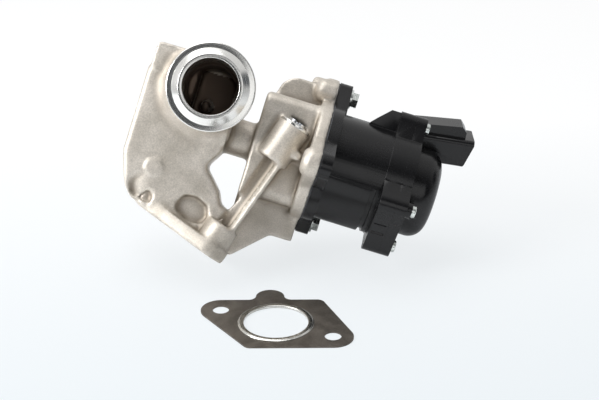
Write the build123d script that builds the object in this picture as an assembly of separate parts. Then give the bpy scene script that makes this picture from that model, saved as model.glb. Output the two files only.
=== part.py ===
from build123d import *
import math
import os

# Exhaust gas recirculation valve with an electric actuator, in millimetres.
#
# Every piece is drawn in the valve frame: X runs along the stem from the seat to the
# actuator, with X = 0 on the joint face between casting and actuator, Y runs into the
# depth away from the mouth of the outlet collar, and Z is up. REST then lays the whole
# valve down the way it lies on a table, on the edge of its inlet flange and its actuator.

# ---- resting attitude ----
REST_PITCH = 24.0          # the outlet collar looks up from the table by this angle
REST_ROLL = 17.0           # the actuator end dips by this angle
REST_YAW = 2.0

# ---- fits ----
RUNNING = 0.05             # radial clearance of a sliding shaft
LOOSE = 0.3                # clearance of pieces that must not touch
THREAD_EASE = 0.1          # radial play of a screw in its sleeve

# ---- stem, seat and poppet ----
STEM_R = 3.0
SEAT_X = -80.0             # inlet side face of the wall that holds the seat
SEAT_WALL = 5.0
SEAT_BORE_R = 11.0
SEAT_RING_R = 14.0
SEAT_RING_LIP = 0.8
POPPET_R = 12.5
POPPET_T = 3.2
POPPET_CONE = 1.6

# ---- outlet collar ----
COLLAR_X = -65.8
COLLAR_Z = 19.9
COLLAR_BORE_R = 14.9
COLLAR_BORE_DEPTH = 24.0
COLLAR_LIP_R = 16.9
COLLAR_CONE_R = 20.4
COLLAR_RIM_R = 23.5
COLLAR_NECK_R = 20.2
COLLAR_MOUTH_Y = -40.0
COLLAR_CONE_LENGTH = 3.2
COLLAR_GROOVE = 1.0
COLLAR_RIM_WIDTH = 4.4
OUTLET_STEP = 1.4          # the cast duct behind the machined bore is smaller by this

# ---- gas duct body ----
BODY_LEFT_X = -102.0
BODY_HALF_DEPTH = 19.0
BODY_WALL = 4.5
BODY_TOP_Z = 23.0
BODY_SHOULDER_Z = -24.8
BODY_RIGHT_X = -50.0
BODY_EDGE_R = 5.0
CHAMBER_R = 14.4
DUCT_TOP_R = 13.0
PLUG_R = 15.4
PLUG_T = 1.5
PLUG_DEPTH = 5.0
PAD_WIDTH = 19.0
PAD_HEIGHT = 15.6
PAD_DEPTH = 9.0
EJECTOR_R = 4.6
EJECTOR_PROUD = 0.9
EJECTOR_X = -83.3
EJECTOR_Z = -28.8
POCKET_DEPTH = 3.0
POCKET_CORNER = 2.4

# ---- inlet flange ----
FLANGE_TILT = 18.5         # its face leans this far from the plane through the stem
PORT_X = -65.6
PORT_Y = 2.0
PORT_Z = -57.45
PORT_R = 16.4
PORT_DEPTH = 14.5          # straight stretch of the port, to the middle of its bend
FLANGE_T = 7.4
BOLT_SPACING = 63.6
BOLT_TURN = 44.0           # angle of the line of bolts to the plane of stem and collar
BOLT_EDGE_ANGLE = 26.0     # angle of the line of bolts to the flange's long edges
BOLT_HOLE_R = 4.3
FLANGE_TIP_R = 10.4
FLANGE_CORNER_R = 4.0
FLANGE_CORNER_X = (12.5, 21.5)   # of the corner in front and the one behind
BOSS_R = 9.0
FRONT_BOSS_LENGTH = 84.0   # from the flange face to the top of the long bolt boss
TOP_BOSS_LENGTH = 23.0
LOW_BOSS_LENGTH = 18.2
REAR_BOSS_LENGTH = 14.0
NUT_ROOM_R = 7.5
NUT_ROOM_HEIGHT = 12.0
SLEEVE_R = 5.4
SLEEVE_BORE_R = 4.65
SLEEVE_LENGTH = 9.0
SLEEVE_PROUD = 1.8
SLEEVE_SLOT = 1.6

# ---- stem neck and actuator side of the casting ----
NECK_R = 10.3
BRIDGE_LEFT_X = -36.8
BRIDGE_FRONT_Y = -19.0
BRIDGE_BACK_Y = 21.0
BRIDGE_TOP_Z = 28.8
BRIDGE_BOTTOM_Z = -28.0
BRIDGE_SHELF_Z = -5.0      # below this the front of the block steps back
BRIDGE_STEP = 4.0
RIB_T = 4.0
BRIDGE_EDGE_R = 6.0
BUSH_R = 6.0
BUSH_LENGTH = 28.0
BUSH_END_X = -18.0
SPRING_POCKET_R = 13.4
SPRING_POCKET_X = -14.0
JOINT_FLANGE_T = 6.6
JOINT_R = 33.0
SCREW_CIRCLE_R = 42.5
SCREW_ANGLES = (-3.5, 111.5, 231.0)     # first the locating boss, towards the mouth
CAST_BOSS_R = 8.2
CAST_BOSS_LENGTH = 15.0
CAST_BOSS_EDGE = 2.6
LOCATOR_LENGTH = 9.6
RIM_STEP = 1.2
WEB_T = 6.0
WEB_Y = -6.0
ARM_FRONT = 4.0            # the arm's face stands this far in front of the bolt axis
ARM_DEPTH = 16.0
ARM_TAPER = 4.0
ARM_RIM = 2.2
EAR_TOP_Z = 41.7
EAR_FRONT_Y = 4.0
EAR_T = 8.0
NUB_X = -12.0
NUB_Z = -1.0
NUB_SIDE = 4.4
NUB_PROUD = 6.0

# ---- actuator housing ----
JOINT_GASKET_T = 0.6
LUG_R = 7.4
LUG_T = 7.2
RING_T = 5.8               # the joint flange between its lugs
CAN_R = 29.4
CAN_WALL = 2.4
HOUSING_LENGTH = 45.0
REAR_FLANGE_X = 36.0
BULGE_END_X = 31.0
BULGE_PROUD = 0.3
BULGE_TOP_Z = -6.2
BULGE_RIM = 1.6
GROOVE_END_X = 33.6
GROOVE_DEPTH = 1.5
REAR_SCREW_R = 35.0
REAR_LUG_R = 5.6
REAR_SCREW_ANGLES = (77.0, -19.0, -66.0, -160.0)
REAR_SEATS = (0.0, 2.8, 0.0, 0.0)      # how far each seat stands off the cover's flange
LUG_SLOTS = ((-27.7, 1.2), (-23.0, 0.6))   # height and width of the slots in the big lug
SLOT_REACH = 2.2
FIN_T = 3.4
FIN_TOP_Z = 38.7

# ---- magnet ----
YOKE_GAP = 0.1
YOKE_WALL = 2.2
YOKE_FRONT_T = 3.0
YOKE_FRONT_HOLE_R = 9.4
YOKE_END_X = 41.0
POLE_LENGTH = 6.5
ARMATURE_R = 9.0
ARMATURE_X = 18.4
ARMATURE_LENGTH = 17.6
TUBE_WALL = 0.9
BOBBIN_WALL = 1.6
BOBBIN_PLAY = 0.4             # radial gap between the bobbin and the can's inside
WINDING_COVER = 1.1           # the bobbin's flanges stand this far over the winding

# ---- sensor cover ----
COVER_FLANGE_T = 6.0
COVER_LENGTH = 21.4
DOME_R = 24.7
DOME_CORNER = 9.0
COVER_WALL = 2.2
SEAL_R = 0.7
GUIDE_R = 3.6
GUIDE_WALL = 1.8
PLUNGER_R = 2.0
PLUNGER_HEAD = 6.0
BOARD_R = 20.0
BOARD_T = 1.6
BOARD_X = 52.0

# ---- connector ----
PLUG_LENGTH = 32.0
PLUG_WIDTH = 22.0
PLUG_HEIGHT = 15.6
PLUG_CENTRE = (64.2, 7.0, 29.8)
PLUG_TURN = 22.0
PLUG_LIFT = 8.0
LATCH_WIDTH = 14.0
PLUG_WALL = 1.7
SOCKET_DEPTH = 15.0
PIN_COUNT = 5
PIN_PITCH = 3.4
PIN_SIZE = 1.0
PIN_LENGTH = 19.0
PIN_IN_SOCKET = 8.0

# ---- fasteners ----
SCREW_SHANK_R = 2.5
SCREW_HEX_AF = 8.0
SCREW_HEAD_T = 4.6
SCREW_WASHER_R = 5.6
SCREW_WASHER_T = 1.2
SCREW_REACH = 12.0
SLEEVE_WALL = 1.0
CAP_SCREW_R = 1.9
CAP_HEAD_R = 3.3
CAP_HEAD_T = 2.3
CAP_SCREW_REACH = 8.0
DOWEL_R = 2.5
DOWEL_LENGTH = 10.0

# ---- springs ----
SPRING_R = 10.2
SPRING_WIRE = 2.0
SPRING_TURNS = 4.0
RETAINER_R = 12.6
RETAINER_T = 1.8
RETAINER_X = 2.0
SENSOR_SPRING_R = 2.3
SENSOR_SPRING_WIRE = 0.6
SENSOR_SPRING_TURNS = 5.0

# ---- loose inlet gasket ----
GASKET_T = 0.8
GASKET_BEAD_R = 19.5
GASKET_BEAD_T = 1.6
GASKET_HOLE_R = 4.25
GASKET_EAR = 11.0
GASKET_EAR_R = 7.5
GASKET_EAR_X = -3.2
GASKET_EAR_BLEND = 4.0
GASKET_PLACE = (-21.6, -83.4)
GASKET_TURN = 0.7

os.makedirs("parts", exist_ok=True)

# The flange frame: origin in the middle of the port on the sealing face, local X along
# the front edge towards the actuator, local Z up the gas stream into the casting.
FLANGE = Pos(PORT_X, PORT_Y, PORT_Z) * Rot(0, FLANGE_TILT, 0)
BOLT_X = BOLT_SPACING / 2 * math.cos(math.radians(BOLT_TURN))
BOLT_Y = BOLT_SPACING / 2 * math.sin(math.radians(BOLT_TURN))
BOLTS = ((BOLT_X, -BOLT_Y), (-BOLT_X, BOLT_Y))
EDGE_BOLT_X = BOLT_SPACING / 2 * math.cos(math.radians(BOLT_EDGE_ANGLE))
EDGE_BOLT_Y = BOLT_SPACING / 2 * math.sin(math.radians(BOLT_EDGE_ANGLE))
JOINT_X = JOINT_GASKET_T
HOUSING_END_X = HOUSING_LENGTH
MAGNET_X = JOINT_X + RING_T - 1.0
BOBBIN_FLANGE_R = CAN_R - CAN_WALL - YOKE_GAP - YOKE_WALL - BOBBIN_PLAY
WINDING_R = BOBBIN_FLANGE_R - WINDING_COVER
SEAT_OUT_X = SEAT_X + SEAT_WALL


def rod(radius, x0, x1, y=0.0, z=0.0):
    """A solid cylinder along the stem direction, from x0 to x1."""
    return Pos(x0, y, z) * Rot(0, 90, 0) * Cylinder(
        radius, x1 - x0, align=(Align.CENTER, Align.CENTER, Align.MIN)
    )


def tube(outer, inner, x0, x1, y=0.0, z=0.0):
    """A round tube along the stem direction."""
    return rod(outer, x0, x1, y, z) - rod(inner, x0 - 1, x1 + 1, y, z)


def across(radius, y0, y1, x, z):
    """A solid cylinder along the depth direction, from y0 to y1."""
    return Pos(x, y0, z) * Rot(-90, 0, 0) * Cylinder(
        radius, y1 - y0, align=(Align.CENTER, Align.CENTER, Align.MIN)
    )


def slab(outline, y0, y1):
    """A flat outline in the X-Z plane, carried from depth y0 to y1."""
    face = make_face(Plane.XZ * Polyline(*outline, close=True))
    return Pos(0, y1, 0) * extrude(face, amount=y1 - y0, dir=(0, -1, 0))


def box(x0, x1, y0, y1, z0, z1):
    """A block between two corners."""
    return Pos((x0 + x1) / 2, (y0 + y1) / 2, (z0 + z1) / 2) * Box(x1 - x0, y1 - y0, z1 - z0)


def polar(radius, angle):
    """Depth and height of a point on a circle about the stem; 0 is towards the mouth."""
    a = math.radians(angle)
    return -radius * math.cos(a), radius * math.sin(a)


SCREWS = [polar(SCREW_CIRCLE_R, a) for a in SCREW_ANGLES]
REAR_SCREWS = [polar(REAR_SCREW_R, a) for a in REAR_SCREW_ANGLES]


def belt(circles):
    """A belt drawn tight round circles, which are given anticlockwise as (x, y, radius)."""
    turns = []
    for (x0, y0, r0), (x1, y1, r1) in zip(circles, circles[1:] + circles[:1]):
        reach = math.hypot(x1 - x0, y1 - y0)
        turns.append(math.atan2(y1 - y0, x1 - x0) - math.acos((r0 - r1) / reach))
    edges = []
    for k, (x, y, r) in enumerate(circles):
        start, end = turns[k - 1], turns[k]
        end += 2 * math.pi * math.ceil((start - end) / (2 * math.pi))
        angles = (start, (start + end) / 2, end)
        points = [(x + r * math.cos(a), y + r * math.sin(a)) for a in angles]
        edges.append(ThreePointArc(*points))
        x1, y1, r1 = circles[(k + 1) % len(circles)]
        edges.append(Line(points[2], (x1 + r1 * math.cos(end), y1 + r1 * math.sin(end))))
    return make_face(edges)


def eared_plate(radius, lug_r, points, x0, x1, root):
    """A round plate with an ear drawn out to each fixing point."""
    plate = rod(radius, x0, x1)
    for y, z in points:
        ear = belt([(0, 0, root), (y, z, lug_r)])
        plate += Pos(x0, 0, 0) * extrude(Plane.YZ * ear, amount=x1 - x0, dir=(1, 0, 0))
    return plate


def helix_spring(radius, wire, x0, x1, turns):
    """Round wire wound along the stem direction, its wire inside x0 to x1."""
    length = x1 - x0 - wire
    path = Helix(pitch=length / turns, height=length, radius=radius)
    coil = sweep(Plane(path @ 0, z_dir=path % 0) * Circle(wire / 2), path=path)
    return Pos(x0 + wire / 2, 0, 0) * Rot(0, 90, 0) * coil


def flange_outline():
    """The flange and gasket shape: round tips about the bolts and two tight corners."""
    edge = EDGE_BOLT_Y + FLANGE_TIP_R - FLANGE_CORNER_R
    front_x, back_x = FLANGE_CORNER_X
    return belt(
        [
            (EDGE_BOLT_X, -EDGE_BOLT_Y, FLANGE_TIP_R),
            (back_x, edge, FLANGE_CORNER_R),
            (-EDGE_BOLT_X, EDGE_BOLT_Y, FLANGE_TIP_R),
            (-front_x, -edge, FLANGE_CORNER_R),
        ]
    )


def duct_cavity():
    """The gas way: inlet port, rising duct, chamber left of the seat, outlet to the collar."""
    chamber_end = BODY_LEFT_X + PLUG_DEPTH
    chamber = rod(CHAMBER_R, chamber_end, SEAT_X)
    chamber_x = (chamber_end + SEAT_X) / 2
    port = Cylinder(PORT_R, PORT_DEPTH + 1, align=(Align.CENTER, Align.CENTER, Align.MIN))
    way_in = FLANGE * (Pos(0, 0, -1) * port + Pos(0, 0, PORT_DEPTH) * Sphere(PORT_R))
    bend = (FLANGE * Pos(0, 0, PORT_DEPTH)).position
    way = Vector(chamber_x, 0, 0) - bend
    start = Plane(origin=bend, z_dir=way)
    finish = Plane(origin=bend + way, z_dir=way)
    way_in += loft([start * Circle(PORT_R), finish * Circle(DUCT_TOP_R)])
    out_r = COLLAR_BORE_R - OUTLET_STEP
    far_y = BODY_HALF_DEPTH - BODY_WALL
    step_y = COLLAR_MOUTH_Y + COLLAR_BORE_DEPTH
    bore = across(COLLAR_BORE_R, COLLAR_MOUTH_Y - 1, step_y, COLLAR_X, COLLAR_Z)
    bore += across(out_r, step_y - 1, far_y, COLLAR_X, COLLAR_Z)
    right_x = BODY_RIGHT_X - BODY_WALL
    pocket = box(SEAT_OUT_X, right_x, -far_y, far_y, 0, COLLAR_Z)
    pocket += rod(far_y, SEAT_OUT_X, right_x - BODY_WALL)
    left_of_seat = box(SEAT_X - 60, SEAT_OUT_X, step_y + 6, far_y + 1, -40, COLLAR_Z + 40)
    return chamber + way_in + (bore - left_of_seat) + pocket


def collar():
    """The machined collar: flat lip, sealing cone, groove and clamp rim, on a round neck."""
    y0 = COLLAR_MOUTH_Y
    cone_y = y0 + COLLAR_CONE_LENGTH
    rim_y = cone_y + COLLAR_GROOVE
    back_y = rim_y + COLLAR_RIM_WIDTH
    profile = Polyline(
        (COLLAR_BORE_R - 3, y0),
        (COLLAR_LIP_R, y0),
        (COLLAR_CONE_R, cone_y),
        (COLLAR_CONE_R - 0.8, cone_y),
        (COLLAR_CONE_R - 0.8, rim_y),
        (COLLAR_RIM_R - 0.6, rim_y),
        (COLLAR_RIM_R, rim_y + 0.6),
        (COLLAR_RIM_R, back_y - 1.2),
        (COLLAR_NECK_R, back_y + 1.6),
        (COLLAR_NECK_R, BODY_HALF_DEPTH - BODY_WALL),
        (COLLAR_NECK_R - BODY_WALL, BODY_HALF_DEPTH),
        (COLLAR_BORE_R - 3, BODY_HALF_DEPTH),
        close=True,
    )
    ring = revolve(make_face(profile), Axis.Y)
    return Pos(COLLAR_X, 0, COLLAR_Z) * ring


def duct_body():
    """The left half of the casting: a rounded box with a flat left side, down to the flange."""
    left = BODY_LEFT_X
    outline = [
        (left, BODY_TOP_Z),
        (left, BODY_SHOULDER_Z),
        (left + 2.8, BODY_SHOULDER_Z - 9.3),
        (left + 6.4, BODY_SHOULDER_Z - 17.7),
        (left + 11.2, BODY_SHOULDER_Z - 23.1),
        (PORT_X + 6, PORT_Z + 1.0),
        (-48.0, -60.0),
        (-39.0, -55.0),
        (-37.5, -40.6),
        (-43.5, -37.9),
        (-46.1, -31.6),
        (-51.6, -25.6),
        (-57.0, -20.2),
        (BODY_RIGHT_X - 1.0, -10.6),
        (BODY_RIGHT_X, 12.0),
        (-60.0, 38.0),
        (-76.0, 38.0),
        (-94.0, 29.0),
    ]
    block = slab(outline, -BODY_HALF_DEPTH, BODY_HALF_DEPTH)
    long_edges = block.edges().filter_by(Axis.Y)
    block = fillet(long_edges, 2.6)
    front = block.faces().sort_by(Axis.Y)[0].edges()
    back = block.faces().sort_by(Axis.Y)[-1].edges()
    return fillet(front + back, BODY_EDGE_R / 2)


def front_pockets():
    """Two shallow pockets that lighten the front of the body above the flange."""
    rounded = [
        (-66.6, -43.6),
        (-66.2, -47.0),
        (-59.5, -50.6),
        (-51.2, -51.0),
        (-48.0, -47.0),
        (-49.6, -40.4),
        (-56.9, -37.2),
        (-63.4, -38.0),
    ]
    pointed = [(-87.6, -47.0), (-82.7, -40.6), (-79.4, -43.8), (-79.8, -48.8)]
    pockets = Part()
    for outline, corner in ((rounded, POCKET_CORNER), (pointed, POCKET_CORNER / 2)):
        hollow = slab(outline, -BODY_HALF_DEPTH - 1, -BODY_HALF_DEPTH + POCKET_DEPTH)
        hollow = fillet(hollow.edges().filter_by(Axis.Y), corner)
        pockets += fillet(hollow.faces().sort_by(Axis.Y)[-1].edges(), POCKET_DEPTH / 3)
    return pockets


def flange_plate():
    """The inlet flange with its two bolt tips and rounded upper edge."""
    turn = Rot(0, 0, BOLT_EDGE_ANGLE - BOLT_TURN)
    return FLANGE * turn * extrude(flange_outline(), amount=FLANGE_T)


def bolt_bosses():
    """The long front boss in two stretches, and the short one at the back."""
    (fx, fy), (bx, by) = BOLTS
    top = FRONT_BOSS_LENGTH
    upper = Pos(fx, fy, top - TOP_BOSS_LENGTH) * Cylinder(
        BOSS_R, TOP_BOSS_LENGTH, align=(Align.CENTER, Align.CENTER, Align.MIN)
    )
    lower = Pos(fx, fy, 0) * Cylinder(
        BOSS_R, LOW_BOSS_LENGTH, align=(Align.CENTER, Align.CENTER, Align.MIN)
    )
    rear = Pos(bx, by, 0) * Cylinder(
        BOSS_R, REAR_BOSS_LENGTH, align=(Align.CENTER, Align.CENTER, Align.MIN)
    )
    return FLANGE * (upper + lower + rear)


def bolt_arm():
    """The slanted rib that stiffens the gap between the two stretches of the front boss."""
    fx, fy = BOLTS[0]
    front = fy - ARM_FRONT
    right = fx + BOSS_R - 2.6
    z0 = LOW_BOSS_LENGTH - 4
    z1 = FRONT_BOSS_LENGTH - TOP_BOSS_LENGTH + 4
    outline = Polyline(
        (fx - ARM_TAPER, z0), (right, z0), (right, z1), (fx + 1.0, z1), close=True
    )
    arm = extrude(make_face(Plane.XZ * outline), amount=ARM_DEPTH, dir=(0, -1, 0))
    rim = box(right - ARM_RIM, right, front - ARM_RIM, front + ARM_DEPTH, z0, z1)
    return FLANGE * (Pos(0, front + ARM_DEPTH, 0) * arm + rim)


def nub():
    """A small square nub beside the locating boss, for gripping the casting."""
    block = Pos(NUB_X, BRIDGE_FRONT_Y - NUB_PROUD / 2, NUB_Z) * Rot(0, FLANGE_TILT, 0) * Box(
        NUB_SIDE, NUB_PROUD + 3.0, NUB_SIDE
    )
    return fillet(block.edges().filter_by(Axis.Y), NUB_SIDE / 8)


def bridge():
    """The right half of the casting: rounded block round the stem, ear and joint flange."""
    left, front, back = BRIDGE_LEFT_X, BRIDGE_FRONT_Y, BRIDGE_BACK_Y
    block = box(left, 0, front, back, BRIDGE_SHELF_Z, BRIDGE_TOP_Z)
    block = fillet(block.edges().filter_by(Axis.X), BRIDGE_EDGE_R)
    block = fillet(block.faces().sort_by(Axis.X)[0].edges(), 2.0)
    lower = box(left, 0, front + BRIDGE_STEP, back, BRIDGE_BOTTOM_Z, BRIDGE_TOP_Z - 8)
    block += fillet(lower.edges().filter_by(Axis.X).sort_by(Axis.Z)[:2], BRIDGE_EDGE_R)
    block += box(left, left + RIB_T, front + 2, back - 6, BRIDGE_BOTTOM_Z, BRIDGE_TOP_Z - 8)
    panel = [(left, 0), (left + 0.8, -29.5), (left + 4.1, -31.0), (-21.3, -17.0), (-20.2, 0)]
    block += slab(panel, front + 0.5, front + 12)
    ear = slab(
        [
            (BRIDGE_LEFT_X + 3.0, BRIDGE_TOP_Z - 4),
            (BRIDGE_LEFT_X + 6.0, EAR_TOP_Z - 5.4),
            (BRIDGE_LEFT_X + 9.4, EAR_TOP_Z - 1.8),
            (BRIDGE_LEFT_X + 14.0, EAR_TOP_Z),
            (0, EAR_TOP_Z),
            (0, BRIDGE_TOP_Z - 4),
        ],
        EAR_FRONT_Y,
        EAR_FRONT_Y + EAR_T,
    )
    ear = fillet(ear.edges().filter_by(Axis.Y).sort_by(Axis.X)[1:3], 2.0)
    flange = eared_plate(JOINT_R, CAST_BOSS_R, SCREWS, -JOINT_FLANGE_T, 0, JOINT_R - 9)
    for k, (y, z) in enumerate(SCREWS):
        length = CAST_BOSS_LENGTH if k else LOCATOR_LENGTH
        boss = rod(CAST_BOSS_R - RIM_STEP, -length, 0, y, z)
        end = boss.edges().filter_by(GeomType.CIRCLE).sort_by(Axis.X)[0]
        flange += fillet(end, CAST_BOSS_EDGE)
    return block + ear + flange + nub()


def web():
    """The gusset from the inlet flange up to the joint flange, behind the arm."""
    outline = [
        (-31.0, -63.0),
        (-13.3, -46.0),
        (-1.0, -46.0),
        (-1.0, BRIDGE_BOTTOM_Z + 6),
        (BRIDGE_LEFT_X, BRIDGE_BOTTOM_Z + 6),
        (BRIDGE_LEFT_X, -44.0),
        (-44.0, -56.0),
    ]
    return slab(outline, WEB_Y, WEB_Y + WEB_T)


def valve_housing():
    """The aluminium casting, machined at its collar, ports, seats and joint faces."""
    cast = duct_body() + collar() + flange_plate() + bridge() + web()
    cast += bolt_bosses() + bolt_arm()
    cast += rod(NECK_R, SEAT_OUT_X + 10, BRIDGE_LEFT_X + 2)
    pad = box(
        BODY_LEFT_X + 1.6,
        BODY_LEFT_X + 1.6 + PAD_WIDTH,
        -BODY_HALF_DEPTH - 2.0,
        -BODY_HALF_DEPTH + PAD_DEPTH,
        BODY_TOP_Z - 2.0,
        BODY_TOP_Z - 2.0 + PAD_HEIGHT,
    )
    cast += fillet(pad.edges().filter_by(Axis.Y), 2.5)
    cast += across(
        EJECTOR_R, -BODY_HALF_DEPTH - EJECTOR_PROUD, -10, EJECTOR_X, EJECTOR_Z
    )
    below = FLANGE * Pos(0, 0, -100) * Box(300, 300, 200)
    cast -= below
    cast -= front_pockets()
    cast -= duct_cavity()
    cast -= rod(SEAT_RING_R, SEAT_X - 0.01, SEAT_OUT_X - SEAT_RING_LIP)
    cast -= rod(SEAT_BORE_R, SEAT_X - 1, SEAT_OUT_X + 1)
    cast -= rod(PLUG_R, BODY_LEFT_X - 1, BODY_LEFT_X + PLUG_DEPTH + 0.01)
    bush_x = BUSH_END_X - BUSH_LENGTH
    cast -= rod(STEM_R + 1.0, SEAT_X, 1)
    cast -= rod(BUSH_R, bush_x, 1)
    cast -= rod(SPRING_POCKET_R, SPRING_POCKET_X, 1)
    fx, fy = BOLTS[0]
    bx, by = BOLTS[1]
    cast -= FLANGE * Pos(fx, fy, -1) * Cylinder(
        BOLT_HOLE_R, FRONT_BOSS_LENGTH + 2, align=(Align.CENTER, Align.CENTER, Align.MIN)
    )
    cast -= FLANGE * Pos(bx, by, -1) * Cylinder(
        BOLT_HOLE_R, REAR_BOSS_LENGTH + 2, align=(Align.CENTER, Align.CENTER, Align.MIN)
    )
    cast -= FLANGE * Pos(bx, by, REAR_BOSS_LENGTH) * Cylinder(
        NUT_ROOM_R, NUT_ROOM_HEIGHT, align=(Align.CENTER, Align.CENTER, Align.MIN)
    )
    cast -= FLANGE * Pos(fx, fy, FRONT_BOSS_LENGTH - SLEEVE_LENGTH + SLEEVE_PROUD) * Cylinder(
        SLEEVE_R, SLEEVE_LENGTH + 1, align=(Align.CENTER, Align.CENTER, Align.MIN)
    )
    for k, (y, z) in enumerate(SCREWS):
        if k == 0:
            cast -= rod(DOWEL_R, -DOWEL_LENGTH / 2, 1, y, z)
        else:
            cast -= rod(SCREW_SHANK_R, -SCREW_REACH, 1, y, z)
    return cast


def seat_ring():
    """The steel seat pressed into its wall, with the cone that the poppet closes on."""
    ring = tube(SEAT_RING_R, SEAT_BORE_R, SEAT_X, SEAT_OUT_X - SEAT_RING_LIP)
    cone = Pos(SEAT_X - 0.01, 0, 0) * Rot(0, 90, 0) * Cone(
        POPPET_R, SEAT_BORE_R, POPPET_CONE, align=(Align.CENTER, Align.CENTER, Align.MIN)
    )
    return ring - cone


def poppet():
    """The valve head: a disc with a sealing cone, welded to the end of its stem."""
    gap = 0.05
    head = Polyline(
        (0, SEAT_X - POPPET_T - 0.6),
        (POPPET_R - 3.5, SEAT_X - POPPET_T - 0.6),
        (POPPET_R - 0.8, SEAT_X - POPPET_T + 0.6),
        (POPPET_R - 0.1, SEAT_X - 1.4),
        (POPPET_R - 0.1, SEAT_X - gap),
        (SEAT_BORE_R - 0.2, SEAT_X + POPPET_CONE - gap),
        (SEAT_BORE_R - 2.5, SEAT_X + POPPET_CONE - gap),
        (STEM_R + 1.6, SEAT_X + 2.6),
        (0, SEAT_X + 2.6),
        close=True,
    )
    solid = revolve(make_face(head), Axis.Y)
    solid = Rot(0, 0, -90) * solid
    return solid - rod(STEM_R, SEAT_X - POPPET_T, SEAT_X + 10)


def stem():
    """The ground stem, from the poppet to the armature."""
    return rod(STEM_R, SEAT_X - POPPET_T, ARMATURE_X + ARMATURE_LENGTH - 6)


def stem_bush():
    """The sintered guide bush pressed into the neck."""
    return tube(BUSH_R, STEM_R + RUNNING, BUSH_END_X - BUSH_LENGTH, BUSH_END_X)


def stem_seal():
    """The lip seal that keeps gas and soot off the actuator."""
    x0 = BUSH_END_X
    x1 = SPRING_POCKET_X - 0.2
    outer = tube(BUSH_R, STEM_R + 1.4, x0, x1)
    lip = tube(STEM_R + 1.4, STEM_R + RUNNING, x0 + 0.8, x0 + 1.8)
    return outer + lip


def core_plug():
    """A pressed steel cup that closes the bore through which the seat is fitted."""
    x0 = BODY_LEFT_X + 1.2
    cup = rod(PLUG_R, x0, x0 + PLUG_DEPTH - 1.2)
    return cup - rod(PLUG_R - PLUG_T, x0 - 1, x0 + PLUG_DEPTH - 1.2 - PLUG_T)


def bolt_sleeve():
    """The slotted locating sleeve in the top of the long bolt boss."""
    x, y = BOLTS[0]
    low = FRONT_BOSS_LENGTH - SLEEVE_LENGTH + SLEEVE_PROUD
    ring = Cylinder(SLEEVE_R, SLEEVE_LENGTH, align=(Align.CENTER, Align.CENTER, Align.MIN))
    ring -= Cylinder(SLEEVE_BORE_R, 3 * SLEEVE_LENGTH)
    ring -= Pos(0, -SLEEVE_R, SLEEVE_LENGTH / 2) * Box(SLEEVE_SLOT, 2 * SLEEVE_R, 2 * SLEEVE_LENGTH)
    return FLANGE * Pos(x, y, low) * ring


def return_spring():
    """The steel coil spring that pulls the poppet back on to its seat."""
    return helix_spring(SPRING_R, SPRING_WIRE, SPRING_POCKET_X, RETAINER_X, SPRING_TURNS)


def spring_retainer():
    """The pressed plate on the stem that the return spring pushes."""
    plate = tube(RETAINER_R, STEM_R, RETAINER_X, RETAINER_X + RETAINER_T)
    plate += tube(STEM_R + 2.0, STEM_R, RETAINER_X, RETAINER_X + RETAINER_T + 1.2)
    return plate


def joint_gasket():
    """The thin sheet between casting and actuator."""
    plate = eared_plate(JOINT_R - 0.6, LUG_R - 0.6, SCREWS, 0, JOINT_X, JOINT_R - 11)
    plate -= rod(SPRING_POCKET_R, -1, 2)
    for k, (y, z) in enumerate(SCREWS):
        hole = DOWEL_R if k == 0 else SCREW_SHANK_R + THREAD_EASE
        plate -= rod(hole + LOOSE, -1, 2, y, z)
    return plate


def locating_dowel():
    """The pin that sets the actuator square on the casting."""
    y, z = SCREWS[0]
    return rod(DOWEL_R, -DOWEL_LENGTH / 2, DOWEL_LENGTH / 2, y, z)


def rear_lug_block(x0, x1):
    """The big slanted lug that two of the cover screws share."""
    rounds = [(y, z, REAR_LUG_R + 0.6) for y, z in REAR_SCREWS[1:3]]
    block = belt(rounds + [(0, 0, CAN_R - 8)])
    return Pos(x0, 0, 0) * extrude(Plane.YZ * block, amount=x1 - x0, dir=(1, 0, 0))


def rear_flange(x0, x1):
    """The round joint flange at the cover, with its lugs."""
    ears = [REAR_SCREWS[0], REAR_SCREWS[3]]
    plate = eared_plate(CAN_R + 0.6, REAR_LUG_R, ears, x0, x1, CAN_R - 8)
    return plate + rear_lug_block(x0, x1)


def lug_slots():
    """The two moulding slots in the slanted face of the big lug."""
    (y0, z0), (y1, z1) = REAR_SCREWS[1:3]
    lean = math.atan2(z0 - z1, y1 - y0)
    slots = Part()
    for z, width in LUG_SLOTS:
        y = y0 + (z0 - z) / math.tan(lean) - (REAR_LUG_R + 0.6) / math.sin(lean)
        ends = REAR_FLANGE_X + SLOT_REACH / 2, HOUSING_END_X - SLOT_REACH / 2
        slots += box(*ends, y - SLOT_REACH, y + SLOT_REACH, z - width / 2, z + width / 2)
    return slots


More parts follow.
